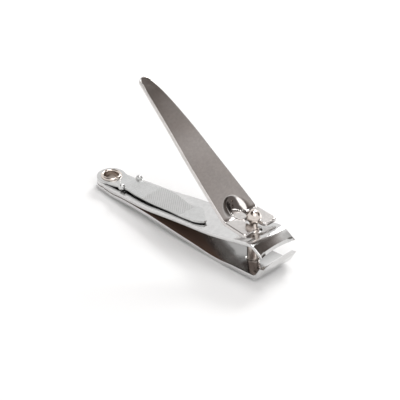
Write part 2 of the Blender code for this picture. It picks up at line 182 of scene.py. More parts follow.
def colour_property(name, description, default):
    return bpy.props.FloatVectorProperty(name=name, description=description, default=default, size=3,
                                         min=0.0, max=1.0, subtype="COLOR")


def share_property(name, description, default):
    return bpy.props.FloatProperty(name=name, description=description, default=default, min=0.0, max=1.0,
                                   subtype="FACTOR")


class ClipperArmSizes(bpy.types.PropertyGroup):
    """Sizes of the two spring arms."""
    strip: length_property("Strip", "Thickness of the spring strip", 1.15)
    rear_radius: length_property("Rear radius", "Radius of the round rear end", 3.9)
    eyelet_hole: length_property("Eyelet hole", "Radius of the hole for the eyelet", 2.38)
    lower_pin_hole: length_property("Lower pin hole", "Radius of the pin's hole in the lower arm", 1.58)
    upper_pin_hole: length_property("Upper pin hole", "Radius of the clearance hole in the upper arm", 2.25)
    edge: length_property("Edge", "Rounding of the strip's edges", 0.24)
    jaw_half_width: length_property("Jaw half width", "Half the width of the jaws", 6.0)
    jaw_curve: length_property("Jaw curve", "How far the cutting edges curve in at the middle", 0.8)
    cutting_edge: length_property("Cutting edge", "Thickness left at the cutting edges", 0.06)
    lower_bend: length_property("Lower bend", "Size of the bend into the lower lip", 1.0)
    upper_bend: length_property("Upper bend", "Size of the bend into the upper lip", 1.1)


class ClipperLeverSizes(bpy.types.PropertyGroup):
    """Sizes of the lever."""
    strip: length_property("Strip", "Thickness of the lever's strip", 1.05)
    edge: length_property("Edge", "Rounding of the lever's edges", 0.27)
    tip: length_property("Tip", "Length of the round tip", 1.7)
    bend: length_property("Bend", "Size of the bend between handle and foot", 0.5)
    slot: length_property("Slot", "Half width of the slot for the pin's neck", 1.4)
    slot_rear: length_property("Slot rear", "How far behind the pin's axis the slot ends", 2.5)
    mouth: length_property("Mouth", "Half width of the slot's open mouth", 2.7)
    foot_corner: length_property("Foot corner", "Rounding of the foot's outer corners", 0.7)
    pocket_width: length_property("Pocket width", "Half width of the thumb pocket inside its rim", 2.1)


class ClipperFileSizes(bpy.types.PropertyGroup):
    """Sizes of the nail file."""
    strip: length_property("Strip", "Thickness of the file's strip", 0.55)
    edge: length_property("Edge", "Rounding of the file's edges", 0.1)
    tab: length_property("Tab", "Radius of the two pressed tabs", 0.95)
    cut_pitch: length_property("Cut pitch", "Distance from one file tooth to the next", 0.55)
    cut_start: length_property("Cut start", "Where the file's teeth start", 15.5)
    cut_end: length_property("Cut end", "Where the file's teeth end", 31.3)


class ClipperRivetSizes(bpy.types.PropertyGroup):
    """Sizes of the turned pieces: the eyelet and the pin."""
    bore: length_property("Bore", "Radius of the eyelet's bore", 1.95)
    tube: length_property("Tube", "Outer radius of the eyelet's tube", 2.3)
    rim: length_property("Rim", "Outer radius of the eyelet's rolled rims", 2.85)
    ball: length_property("Ball", "Radius of the pin's ball head", 1.85)
    neck: length_property("Neck", "Radius of the pin's neck", 1.1)
    shank: length_property("Shank", "Radius of the pin's shank", 1.5)
    flange: length_property("Flange", "Radius of the pin's flange", 2.4)


class ClipperFinishes(bpy.types.PropertyGroup):
    """Colours of the clipper's metals."""
    chrome: colour_property("Chrome", "Colour of the arms' chrome", (0.66, 0.655, 0.65))
    lever_chrome: colour_property("Lever chrome", "Colour of the lever's chrome", (0.62, 0.595, 0.58))
    steel: colour_property("File steel", "Colour of the file", (0.60, 0.60, 0.595))
    nickel: colour_property("Nickel", "Colour of the pin and the eyelet", (0.70, 0.63, 0.58))
    wear: share_property("Wear", "How strongly edges and faces show handling", 0.5)


class ClipperStage(bpy.types.PropertyGroup):
    """Floor, light and camera."""
    floor: colour_property("Floor", "Colour of the floor", (0.9, 0.9, 0.9))
    aim: bpy.props.FloatVectorProperty(name="Aim", description="Point that the camera looks at", size=3,
                                       default=(0.0, 0.004816, 0.00625), unit="LENGTH", precision=5)
    azimuth: bpy.props.FloatProperty(name="Azimuth", description="Turn of the camera round the clipper",
                                     default=math.radians(45.045), unit="ROTATION")
    elevation: bpy.props.FloatProperty(name="Elevation", description="Height angle of the camera",
                                       default=math.radians(32.043), unit="ROTATION")
    distance: length_property("Distance", "From the camera to the point that it looks at", 433.38)
    lens: bpy.props.FloatProperty(name="Lens", description="Focal length on a 36 mm sensor, in millimetres",
                                  default=150.275)


def settings(name):
    return getattr(bpy.context.scene, name)


def in_mm(length):
    return length / MM


# ---------------------------------------------------------------- curves

def smooth_value(stations, x):
    """Monotone Hermite curve: cubic between stations, with the harmonic mean of the chords as slope."""
    table = np.array(stations)
    chords = np.diff(table[:, 1]) / np.diff(table[:, 0])
    product = chords[:-1] * chords[1:]
    harmonic = 2 * product / np.where(product > 0, chords[:-1] + chords[1:], 1.0)
    inner = np.where(product > 0, harmonic, 0.0)
    slopes = np.concatenate([[chords[0]], inner, [chords[-1]]])
    i = np.clip(np.searchsorted(table[:, 0], x) - 1, 0, len(table) - 2)
    span = table[i + 1, 0] - table[i, 0]
    t = np.clip((x - table[i, 0]) / span, 0.0, 1.0)
    start = (1 + 2 * t) * (1 - t) ** 2 * table[i, 1] + t * (1 - t) ** 2 * span * slopes[i]
    end = t ** 2 * (3 - 2 * t) * table[i + 1, 1] + t ** 2 * (t - 1) * span * slopes[i + 1]
    return start + end


def softened(values, width):
    """Samples averaged under a bell curve of that many samples, past straight extensions at both ends."""
    reach = 3 * width
    bell = np.exp(-0.5 * (np.arange(-reach, reach + 1) / width) ** 2)
    before = values[0] + (values[0] - values[1]) * np.arange(reach, 0, -1)
    after = values[-1] + (values[-1] - values[-2]) * np.arange(1, reach + 1)
    return np.convolve(np.concatenate([before, values, after]), bell / bell.sum(), "valid")


def curve_through(stations, width=1.0):
    """A function of X: the smooth curve through the stations, softened over that many millimetres."""
    x = np.arange(stations[0][0], stations[-1][0] + SAMPLE, SAMPLE)
    y = softened(smooth_value(stations, x), int(width / SAMPLE))
    return lambda at: np.interp(at, x, y)


def rounded_corner(before, corner, after, size, count=12):
    """Quadratic arc that replaces a corner, from size before it to size after it."""
    before, corner, after = np.array(before), np.array(corner), np.array(after)
    first = corner + (before - corner) * size / np.linalg.norm(before - corner)
    last = corner + (after - corner) * size / np.linalg.norm(after - corner)
    t = np.linspace(0.0, 1.0, count)[:, None]
    return first * (1 - t) ** 2 + corner * 2 * t * (1 - t) + last * t ** 2


def smooth_step(value, start, end):
    t = np.clip((value - start) / (end - start), 0.0, 1.0)
    return t * t * (3 - 2 * t)


class SideView:
    """The middle line of a bent strip in the XZ plane, sampled evenly along its run from X = 0."""

    def __init__(self, points):
        run = np.concatenate([[0.0], np.cumsum(np.linalg.norm(np.diff(points, axis=0), axis=1))])
        even = np.arange(0.0, run[-1], SAMPLE)
        width = int(SIDE_SOFTNESS / SAMPLE)
        columns = [softened(np.interp(even, run, points[:, i]), width) for i in (0, 1)]
        self.points = np.stack(columns, axis=1)
        ahead = np.gradient(self.points, axis=0)
        ahead /= np.linalg.norm(ahead, axis=1)[:, None]
        self.normals = np.stack([-ahead[:, 1], ahead[:, 0]], axis=1)
        self.run = even - np.interp(0.0, self.points[:, 0], even)
        if self.points[0, 0] > 0:
            self.run = even

    def run_at(self, x):
        return np.interp(x, self.points[:, 0], self.run)

    def x_at(self, run):
        return np.interp(run, self.run, self.points[:, 0])

    def at(self, run, offset):
        """(X, Z) of a point that lies offset above the middle line at that run."""
        columns = [np.interp(run, self.run, self.points[:, i]) +
                   np.interp(run, self.run, self.normals[:, i]) * offset for i in (0, 1)]
        return np.stack(columns, axis=1)


# ---------------------------------------------------------------- blanks

def grid_quads(first, rows):
    """Quads of a grid whose points run across within a row."""
    columns = COLUMNS + 1
    i, j = np.meshgrid(np.arange(rows - 1), np.arange(COLUMNS), indexing="ij")
    a = (first + i * columns + j).ravel()
    return np.stack([a, a + columns, a + columns + 1, a + 1], axis=1)


def ring_quads(first, count):
    """Quads of nested closed rings, from the innermost ring outwards."""
    i, j = np.meshgrid(np.arange(HOLE_RINGS - 1), np.arange(count), indexing="ij")
    a = (first + i * count + j).ravel()
    b = (first + i * count + (j + 1) % count).ravel()
    return np.stack([a, a + count, b + count, b], axis=1)


def between(low, high):
    """Grid of values: each row runs evenly from its low to its high value."""
    v = np.linspace(0.0, 1.0, COLUMNS + 1)
    return low[:, None] * (1 - v) + high[:, None] * v


def across(run, low, high):
    """Grid points: at each run, evenly spaced between the low and the high edge."""
    return np.stack([np.repeat(run, COLUMNS + 1), between(low, high).ravel()], axis=1)


def holed_patch(outer, centre, radius, stretch=1.0):
    """Rings that run from a round hole to an outer outline: straight lines from each of its points."""
    spoke = outer - (centre, 0.0)
    angle = np.arctan2(spoke[:, 1], spoke[:, 0])
    inner = np.stack([centre + radius * stretch * np.cos(angle), radius * np.sin(angle)], axis=1)
    t = np.linspace(0.0, 1.0, HOLE_RINGS)[:, None, None]
    return (inner[None] * (1 - t) + outer[None] * t).reshape(-1, 2)


def two_sides(run, low, high):
    """Points along the near and the far edge of a stretch of strip, and rows across its ends."""
    near = np.stack([run, low(run)], axis=1)
    far = np.stack([run, high(run)], axis=1)
    v = np.linspace(0.0, 1.0, COLUMNS + 1)[:, None]
    front = near[-1] * (1 - v) + far[-1] * v
    rear = near[0] * (1 - v) + far[0] * v
    return near, far, front, rear


def stretch_outline(start, end, low, high):
    """Closed outline of a stretch of strip, anticlockwise: near side, front, far side, rear."""
    near, far, front, rear = two_sides(np.linspace(start, end, STRETCH_STEPS + 1), low, high)
    return np.concatenate([near[:-1], front[:-1], far[::-1][:-1], rear[::-1][:-1]])


def rear_outline(radius, low, high, turn):
    """Closed outline of a round rear end about the eyelet, up to a straight line across at REAR_RUN."""
    run = np.linspace(radius * math.cos(turn), REAR_RUN, REAR_STEPS + 1)[1:]
    near, far, front, _ = two_sides(run, low, high)
    angle = np.linspace(turn, 2 * math.pi - turn, REAR_ARC_POINTS)
    rear = radius * np.stack([np.cos(angle), np.sin(angle)], axis=1)
    return np.concatenate([near[:-1], front[:-1], far[::-1], rear])


class Blank:
    """A flat layout made of patches, which share the points that fall together.

    patches(inset) lists (points, quads, count) for each patch with its edges moved in by the inset,
    where quads(first, count) numbers its faces.
    """

    def __init__(self, patches):
        faces, first = [], 0
        for points, quads, count in patches(0.0):
            faces.append(quads(first, count))
            first += len(points)
        self.patches = patches
        keys = np.round(self.raw(0.0) / SAME_POINT).astype(np.int64)
        _, self.first, inverse = np.unique(keys, axis=0, return_index=True, return_inverse=True)
        self.faces = inverse.ravel()[np.concatenate(faces)]

    def raw(self, inset):
        return np.concatenate([patch[0] for patch in self.patches(inset)])

    def points(self, inset):
        return self.raw(inset)[self.first]

    def rim(self):
        """Directed edges that only one face uses."""
        a = self.faces.ravel()
        b = np.roll(self.faces, -1, axis=1).ravel()
        size = len(self.first)
        alone = ~np.isin(a * size + b, b * size + a)
        return a[alone], b[alone]


def solid_from_blank(blank, place, thickness, rounding):
    """A closed solid: the blank's top and bottom faces, and between them rings that round both edges.

    A narrow flat band lies between each face and its rounding, which keeps the face's shading level.
    At angle t the rounding lies rounding x (1 - sin t) inside the outline, and rounding x (1 - cos t)
    below the face. place(points, depth) bends a flat point at that depth into (X, Y, Z).
    """
    a, b = blank.rim()
    ring, position = np.unique(a, return_inverse=True)
    following = np.searchsorted(ring, b)
    angles = np.linspace(0.0, math.pi / 2, ROUND_STEPS + 1)
    insets = rounding * (1 - np.sin(angles))
    depths = rounding * (1 - np.cos(angles))
    all_insets = np.concatenate([insets, insets[::-1]])
    all_depths = np.concatenate([depths, thickness - depths[::-1]])
    top_flat = blank.points(rounding + HELD_FLAT)
    top = place(top_flat, np.zeros(len(top_flat)))
    bottom = place(top_flat, np.full(len(top_flat), thickness))
    walls = [place(blank.points(i)[ring], np.full(len(ring), d)) for i, d in zip(all_insets, all_depths)]
    count = len(top)
    points = np.concatenate([top, bottom] + walls)
    levels = [ring] + [2 * count + k * len(ring) + np.arange(len(ring)) for k in range(len(walls))]
    levels.append(ring + count)
    sides = [np.stack([up[following], up[position], down[position], down[following]], axis=1)
             for up, down in zip(levels[:-1], levels[1:])]
    return points, np.concatenate([blank.faces, blank.faces[:, ::-1] + count] + sides)


# ---------------------------------------------------------------- turned shapes

def arc(centre, radius, start, end, count):
    angle = np.radians(np.linspace(start, end, count))
    return np.array(centre) + radius * np.stack([np.cos(angle), np.sin(angle)], axis=1)


def turned(profile, steps=96):
    """A profile of (radius, height) points carried round the Z axis; a ring if it ends where it starts.

    A profile that starts and ends on the axis has one point at each pole.
    """
    angle = np.arange(steps) * 2 * math.pi / steps
    on_axis = profile[0, 0] < 1e-9
    body = profile[1:-1] if on_axis else profile
    radius, height = body[:, :1], body[:, 1:]
    grid = np.stack([radius * np.cos(angle), radius * np.sin(angle), height + 0 * angle], axis=2)
    points = grid.reshape(-1, 3)
    i, j = np.meshgrid(np.arange(len(body) - (1 if on_axis else 0)), np.arange(steps), indexing="ij")
    row = (i * steps + j).ravel()
    along = (i * steps + (j + 1) % steps).ravel()
    size = len(points)
    faces = np.stack([row, (row + steps) % size, (along + steps) % size, along], axis=1)
    faces = faces.tolist()
    if on_axis:
        points = np.concatenate([points, [(0, 0, profile[0, 1])], [(0, 0, profile[-1, 1])]])
        j = np.arange(steps)
        top = np.stack([np.full(steps, size), j, (j + 1) % steps], axis=1)
        low = size - steps
        bottom = np.stack([np.full(steps, size + 1), low + (j + 1) % steps, low + j], axis=1)
        faces = faces + top.tolist() + bottom.tolist()
    return points, faces


def linked(name, data):
    """A new object of that data, in the scene."""
    obj = bpy.data.objects.new(name, data)
    bpy.context.scene.collection.objects.link(obj)
    return obj


def put_in_scene(name, points, faces, finish, sharp=28.0):
    """Makes the piece's object, with its place in its mesh in metres, and its finish."""
    mesh = bpy.data.meshes.new(name)
    placed = np.array(points) * MM + (EYELET_AXIS, 0.0, 0.0)
    mesh.from_pydata(placed.tolist(), [], [list(face) for face in faces])
    if mesh.validate():
        raise RuntimeError(f"{name} has faces that the mesh can't hold")
    mesh.shade_smooth()
    mesh.set_sharp_from_angle(angle=math.radians(sharp))
    mesh.materials.append(bpy.data.materials[finish])
    obj = linked(name, mesh)
    return obj


# ---------------------------------------------------------------- finishes

def feed(tree, socket, value):
    """Links the input socket from another socket, or sets it to a plain value."""
    if isinstance(value, bpy.types.NodeSocket):
        tree.links.new(value, socket)
    else:
        socket.default_value = value


def fed_by(shader, name):
    """The output that feeds this input of the shader."""
    return shader.inputs[name].links[0].from_socket


def add_node(tree, kind, inputs=(), **fields):
    """A new node with its fields set, and its inputs set from values or linked from sockets."""
    node = tree.nodes.new("ShaderNode" + kind)
    for field, value in fields.items():
        setattr(node, field, value)
    for key, value in dict(inputs).items():
        feed(tree, node.inputs[key], value)
    return node


def maths(tree, operation, a, b=0.0, c=0.0):
    return add_node(tree, "Math", {0: a, 1: b, 2: c}, operation=operation).outputs[0]


def ranged(tree, value, low, high):
    """0 at the low value and 1 at the high one, with a smooth step between them."""
    node = add_node(tree, "MapRange", {"Value": value, "From Min": low, "From Max": high},
                    interpolation_type="SMOOTHSTEP")
    return node.outputs["Result"]


def multiplied(tree, *masks):
    total = masks[0]
    for mask in masks[1:]:
        total = maths(tree, "MULTIPLY", total, mask)
    return total


def part_of(tree, vector, axis):
    return add_node(tree, "SeparateXYZ", {"Vector": vector}).outputs[axis]


def turned_place(tree, place, angle, axis="Z"):
    """The place turned about an axis, so that a pattern runs at a slant."""
    return add_node(tree, "VectorRotate", {"Vector": place, "Angle": angle},
                    rotation_type=axis + "_AXIS").outputs[0]


def noise(tree, place, scale, detail, **more):
    inputs = {"Vector": place, "Scale": scale, "Detail": detail, **more}
    return add_node(tree, "TexNoise", inputs).outputs["Fac"]


def tinted(tree, factor, first, second):
    """Colour that goes from the first to the second as the factor goes from 0 to 1."""
    node = add_node(tree, "Mix", data_type="RGBA")
    for key, value in (("Factor_Float", factor), ("A_Color", first), ("B_Color", second)):
        feed(tree, next(s for s in node.inputs if s.identifier == key), value)
    return next(s for s in node.outputs if s.identifier == "Result_Color")


def new_group(name, amounts, masks):
    """A node group that reads a place and some amounts, and puts out masks."""
    tree = bpy.data.node_groups.new(name, "ShaderNodeTree")
    tree.interface.new_socket("Place", in_out="INPUT", socket_type="NodeSocketVector")
    for label, default in amounts.items():
        socket = tree.interface.new_socket(label, in_out="INPUT", socket_type="NodeSocketFloat")
        socket.default_value = default
    for label in masks:
        tree.interface.new_socket(label, in_out="OUTPUT", socket_type="NodeSocketFloat")
    return tree, tree.nodes.new("NodeGroupInput").outputs


def put_out(tree, **masks):
    """Links the masks to the outputs of their group."""
    out = tree.nodes.new("NodeGroupOutput")
    for name, mask in masks.items():
        tree.links.new(mask, out.inputs[name])


def use_group(tree, name, **inputs):
    node = tree.nodes.new("ShaderNodeGroup")
    node.node_tree = bpy.data.node_groups[name]
    for key, value in inputs.items():
        feed(tree, node.inputs[key], value)
    return node.outputs


def make_scratch_group():
    """Fine polishing scratches: noise drawn out along three directions, kept where it is strongest."""
    tree, given = new_group("polish_scratches", {"Fineness": 1.0}, ("Height", "Mask"))
    total = 0.0
    for turn, start in ((0.35, 3.0), (-0.9, 11.0), (1.4, 23.0)):
        drawn = add_node(tree, "Mapping", {"Vector": turned_place(tree, given["Place"], turn),
                                           "Location": (start, start, 0.0), "Scale": (160.0, 5200.0, 900.0)})
        lines = noise(tree, drawn.outputs[0], given["Fineness"], 2.0, Roughness=0.6)
        total = maths(tree, "ADD", total, ranged(tree, lines, 0.60, 0.78))
    mask = maths(tree, "MINIMUM", total, 1.0)
    put_out(tree, Height=multiplied(tree, mask, -1.0), Mask=mask)


def make_haze_group():
    """Handling haze: cloudy patches a few millimetres across, for roughness and tint."""
    tree, given = new_group("handling_haze", {"Size": 0.006}, ("Mask", "Fine"))
    scale = maths(tree, "DIVIDE", 1.0, given["Size"])
    cloud = noise(tree, given["Place"], scale, 4.0, Roughness=0.55, Distortion=0.4)
    fine = noise(tree, given["Place"], multiplied(tree, scale, 9.0), 3.0)
    put_out(tree, Mask=ranged(tree, cloud, 0.35, 0.68), Fine=fine)


def make_wear_group():
    """Edge wear: convex edges found by pointiness, broken up by noise, and small nicks along them."""
    tree, given = new_group("edge_wear", {"Amount": 0.5}, ("Mask", "Nicks"))
    rough = noise(tree, given["Place"], 900.0, 3.0)
    edge = ranged(tree, add_node(tree, "NewGeometry").outputs["Pointiness"], 0.51, 0.58)
    mask = multiplied(tree, edge, ranged(tree, rough, 0.42, 0.62), given["Amount"])
    cells = add_node(tree, "TexVoronoi", {"Vector": given["Place"], "Scale": 420.0})
    pit = ranged(tree, cells.outputs["Distance"], 0.16, 0.05)
    put_out(tree, Mask=mask, Nicks=multiplied(tree, pit, ranged(tree, rough, 0.56, 0.64), edge))


def make_cut_group():
    """File teeth: two sets of straight grooves that cross at a right angle, as a saw-tooth height."""
    tree, given = new_group("cross_cut", {"Pitch": 0.0004}, ("Height", "Groove"))
    sets = []
    for turn in (0.82, -0.72):
        along = part_of(tree, turned_place(tree, given["Place"], turn), "X")
        phase = maths(tree, "FRACT", maths(tree, "DIVIDE", along, given["Pitch"]))
        sets.append(maths(tree, "PINGPONG", phase, 0.5))
    height = maths(tree, "MINIMUM", sets[0], sets[1])
    put_out(tree, Height=ranged(tree, height, 0.0, 0.3), Groove=ranged(tree, height, 0.16, 0.02))


def make_burnish_group():
    """Burnish marks: short slanting light and dark streaks left by tumbling, from drawn-out noise."""
    tree, given = new_group("burnish_marks", {}, ("Mask",))
    drawn = add_node(tree, "Mapping", {"Vector": turned_place(tree, given["Place"], 0.9, "Y"),
                                       "Scale": (220.0, 900.0, 1600.0)})
    put_out(tree, Mask=ranged(tree, noise(tree, drawn.outputs[0], 1.0, 3.0), 0.40, 0.66))


EFFECTS = (make_scratch_group, make_haze_group, make_wear_group, make_cut_group, make_burnish_group)


def colour4(colour, factor=1.0):
    return tuple(min(1.0, c * factor) for c in colour) + (1.0,)


def layered(tree, base, layers):
    """The base colour under layers of (mask, tone), each over those before it."""
    for mask, tone in layers:
        base = tinted(tree, mask, base, tone)
    return base


def shader_in(name):
    """The node tree and the shader of a finish."""
    tree = bpy.data.materials[name].node_tree
    return tree, tree.nodes["Principled BSDF"]


def metal(name, colour, roughness, haze=0.08, scratches=0.35):
    """Polished metal: haze and scratches in the roughness, fine bump, and wear along the edges."""
    bpy.data.materials.new(name).use_nodes = True
    tree, shader = shader_in(name)
    shader.inputs["Metallic"].default_value = 1.0
    place = add_node(tree, "TexCoord").outputs["Object"]
    marks = use_group(tree, "polish_scratches", Place=place, Fineness=1.0)
    cloud = use_group(tree, "handling_haze", Place=place, Size=0.007)
    wear = use_group(tree, "edge_wear", Place=place, Amount=settings("clipper_finishes").wear)
    streaks = use_group(tree, "burnish_marks", Place=place)
    toned = layered(tree, colour4(colour), [
        (multiplied(tree, cloud["Mask"], 0.5), colour4(colour, 0.86)),
        (multiplied(tree, streaks["Mask"], 0.18), colour4(colour, 1.25)),
        (wear["Mask"], colour4(colour, 1.2)),
        (wear["Nicks"], NICK_TONE),
    ])
    tree.links.new(toned, shader.inputs["Base Color"])
    rough = roughness
    for mask, amount in ((cloud["Mask"], haze), (marks["Mask"], 0.12 * scratches), (wear["Mask"], 0.10)):
        rough = maths(tree, "MULTIPLY_ADD", mask, amount, rough)
    tree.links.new(rough, shader.inputs["Roughness"])
    height = maths(tree, "MULTIPLY_ADD", marks["Height"], scratches, cloud["Fine"])
    bump = add_node(tree, "Bump", {"Height": height, "Strength": 0.06, "Distance": 0.00004})
    tree.links.new(bump.outputs["Normal"], shader.inputs["Normal"])


def near_point(tree, place, middle, reach, ragged=None):
    """Mask that is full near a point and fades over the pair of distances, less evenly if ragged."""
    away = add_node(tree, "VectorMath", {0: place, 1: middle}, operation="DISTANCE").outputs["Value"]
    if ragged is not None:
        away = maths(tree, "MULTIPLY_ADD", ragged, CORNER_SHADE_RAGGED, away)
    return ranged(tree, away, *reach)


def paint_inside_shade(name, side):
    """Painted shade on the arm's inner face, between the two arms.

    Behind the lip the face is darkened as painted shade, more in its near corner, and grey and brown painted
    shade cover its rear up to a slanting line. side is 1 on an upper face and -1 on a lower one.
    """
    tree, shader = shader_in(name)
    given = add_node(tree, "TexCoord").outputs
    facing = maths(tree, "MULTIPLY", part_of(tree, given["Normal"], "Z"), side)
    inner = ranged(tree, facing, 0.55, 0.85)
    ahead = maths(tree, "SUBTRACT", part_of(tree, given["Object"], "X"), EYELET_AXIS)
    cloud = use_group(tree, "handling_haze", Place=given["Object"], Size=0.004)["Mask"]
    line = maths(tree, "MULTIPLY_ADD", part_of(tree, given["Object"], "Y"), SHADE_LINE_SLANT, ahead)
    line = maths(tree, "MULTIPLY_ADD", cloud, SHADE_LINE_RAGGED, line)
    # painted shade in the near corner between the arms
    corner = near_point(tree, given["Object"], CORNER_SHADE_MIDDLE, CORNER_SHADE_REACH, cloud)
    brown = multiplied(tree, ranged(tree, line, *BROWN_SHADE_LINE), inner)
    # Painted shade between the arms: darker behind the lip, darkest in the near corner, grey and brown
    # towards the rear.
    toned = layered(tree, fed_by(shader, "Base Color"), [
        (multiplied(tree, ranged(tree, ahead, *BEHIND_LIP), inner), INSIDE_SHADE_TONE),
        (multiplied(tree, corner, inner, 0.9), CORNER_SHADE_TONE),
        (multiplied(tree, ranged(tree, line, *GREY_SHADE_LINE), inner), GREY_SHADE_TONE),
        (brown, BROWN_SHADE_TONE),
    ])
    tree.links.new(toned, shader.inputs["Base Color"])
    # the brown painted shade also makes the face less metallic
    tree.links.new(maths(tree, "MULTIPLY_ADD", brown, -0.7, 1.0), shader.inputs["Metallic"])


def paint_pocket_wall_shade():
    """Painted shade on the steep wall of the lever's pocket, found by how little the face looks up."""
    tree, shader = shader_in("lever_finish")
    given = add_node(tree, "TexCoord").outputs
    rise = part_of(tree, given["Normal"], "Z")
    mask = multiplied(tree, ranged(tree, rise, 0.68, 0.5), ranged(tree, rise, -0.3, -0.1),
                      near_point(tree, given["Object"], POCKET_MIDDLE, POCKET_SHADE_REACH))
    # painted shade on the pocket's steep wall
    toned = tinted(tree, mask, fed_by(shader, "Base Color"), POCKET_SHADE_TONE)
    tree.links.new(toned, shader.inputs["Base Color"])


def file_metal(name, colour):
    """File steel: teeth between two lines across, a dull cut face there and a polished tip and tail."""
    sizes = settings("clipper_file")
    metal(name, colour, 0.2, scratches=0.4)
    tree, shader = shader_in(name)
    given = add_node(tree, "TexCoord").outputs
    centring = {"Vector": given["Object"], "Location": (-EYELET_AXIS, 0.0, 0.0)}
    centred = add_node(tree, "Mapping", centring).outputs[0]
    cut = use_group(tree, "cross_cut", Place=centred, Pitch=sizes.cut_pitch)
    along = part_of(tree, centred, "X")
    zone = multiplied(tree, ranged(tree, along, sizes.cut_start, sizes.cut_start + 0.0012),
                      ranged(tree, along, sizes.cut_end, sizes.cut_end - 0.00015),
                      ranged(tree, part_of(tree, given["Normal"], "Z"), 0.6, 0.9))
    # painted shade: the bottoms of the file's grooves are coloured darker
    groove = multiplied(tree, zone, cut["Groove"])
    grooved = tinted(tree, groove, fed_by(shader, "Base Color"), colour4(colour, 0.6))
    tree.links.new(grooved, shader.inputs["Base Color"])
    rough = maths(tree, "MULTIPLY_ADD", zone, 0.14, fed_by(shader, "Roughness"))
    tree.links.new(rough, shader.inputs["Roughness"])
    teeth = add_node(tree, "Bump", {"Height": multiplied(tree, zone, cut["Height"]), "Strength": 0.35,
                                    "Distance": 0.00009, "Normal": fed_by(shader, "Normal")})
    tree.links.new(teeth.outputs["Normal"], shader.inputs["Normal"])


# ---------------------------------------------------------------- arms

class ArmShape:
    """One spring arm: a side view, the lip's ground face, and how its flat layout is bent."""

    def __init__(self, underside, lip, bend, edge, outer_is_top, crown=0.0):
        sizes = settings("clipper_arms")
        self.strip = in_mm(sizes.strip)
        self.half_jaw = in_mm(sizes.jaw_half_width)
        self.curve = in_mm(sizes.jaw_curve)
        self.blunt = in_mm(sizes.cutting_edge)
        self.edge = edge
        self.outer_is_top = outer_is_top
        self.crown = crown
        bottom = curve_through(underside)
        x = np.arange(underside[0][0], underside[-1][0], SAMPLE)
        low = np.stack([x, bottom(x)], axis=1)
        ahead = np.gradient(low, axis=0)
        ahead /= np.linalg.norm(ahead, axis=1)[:, None]
        middle = low + np.stack([-ahead[:, 1], ahead[:, 0]], axis=1) * self.strip / 2
        corner = rounded_corner(middle[-1], lip[0], lip[1], bend)
        line = np.concatenate([middle, corner, [lip[1]]])
        self.view = SideView(line)
        self.lip_start = self.view.run_at(lip[0][0]) + bend * 0.6
        self.end = self.view.run[-1]
        direction = np.array(lip[1]) - np.array(lip[0])
        direction /= np.linalg.norm(direction)
        self.heel_back = self.heel_slide(direction)

    def heel_slide(self, direction):
        """How far the ground face runs back at the middle: where an upright cut meets the outer face."""
        outer = self.view.at(np.array([self.end]), self.strip / 2 * (1 if self.outer_is_top else -1))[0]
        cut = self.edge[0] - self.curve
        return max(0.0, (outer[0] - cut) / direction[0])

    def face(self, points, top):
        """Flat points bent onto the top or the bottom face, with the lip ground to its cutting edge."""
        run, y = points[:, 0], points[:, 1]
        hollow = np.clip(1 - (y / self.half_jaw) ** 2, 0.0, 1.0)
        outer = top == self.outer_is_top
        grind = self.heel_back * hollow if outer else LIP_GRIND + 0 * hollow
        end = self.end - grind
        squeeze = (end - self.lip_start) / (self.end - self.lip_start)
        in_lip = self.lip_start + (run - self.lip_start) * squeeze
        held = np.minimum(np.where(run > self.lip_start, in_lip, run), end)
        offset = self.strip / 2 if top else -self.strip / 2
        base = self.view.at(held, offset)
        if outer:
            fade = smooth_step(run, self.lip_start - CROWN_RUN, self.lip_start)
            base = base - (self.crown * fade * (y / self.half_jaw) ** 2)[:, None] * (1.0, 1.0)
        edge = np.stack([self.edge[0] - self.curve * hollow, self.edge[1] + 0 * hollow], axis=1)
        edge[:, 1] += self.blunt / 2 * (1 if top else -1)
        t = np.clip((run - self.end) / FACET, 0.0, 1.0)[:, None]
        return base * (1 - t) + edge * t

    def place(self, points, depth):
        t = (depth / self.strip)[:, None]
        side = self.face(points, True) * (1 - t) + self.face(points, False) * t
        return np.stack([side[:, 0], points[:, 1], side[:, 1]], axis=1)


def arm_blank(shape, pin_hole, stretch):
    """Layout of an arm: holed rear patch, strip, holed patch at the pin, strip, ground lip."""
    sizes = settings("clipper_arms")
    width = curve_through(ARM_PLAN)
    view = shape.view
    pin_run = float(view.run_at(PIN_X))
    pin_start, pin_end = pin_run - PIN_REACH, pin_run + PIN_REACH
    body = np.linspace(REAR_RUN, pin_start, ARM_ROWS)
    lip = np.linspace(pin_end, shape.end, LIP_ROWS)
    facet = shape.end + FACET * np.linspace(0.0, 1.0, FACET_ROWS)
    front = np.concatenate([lip, facet[1:]])

    def patches(inset):
        def high(run):
            return width(view.x_at(run)) - inset

        def low(run):
            return -high(run)

        rear = rear_outline(in_mm(sizes.rear_radius) - inset, low, high, ARM_REAR_TURN)
        around_pin = stretch_outline(pin_start, pin_end, low, high)
        return [
            (holed_patch(rear, 0.0, in_mm(sizes.eyelet_hole) + inset), ring_quads, len(rear)),
            (across(body, low(body), high(body)), grid_quads, len(body)),
            (holed_patch(around_pin, pin_run, pin_hole + inset, stretch), ring_quads, len(around_pin)),
            (across(front, low(front), high(front)), grid_quads, len(front)),
        ]

    return Blank(patches)


def make_arm(name, shape, pin_hole, finish, stretch=1.0):
    sizes = settings("clipper_arms")
    blank = arm_blank(shape, pin_hole, stretch)
    points, faces = solid_from_blank(blank, shape.place, shape.strip, in_mm(sizes.edge))
    return put_in_scene(name, points, faces, finish)


# ---------------------------------------------------------------- lever

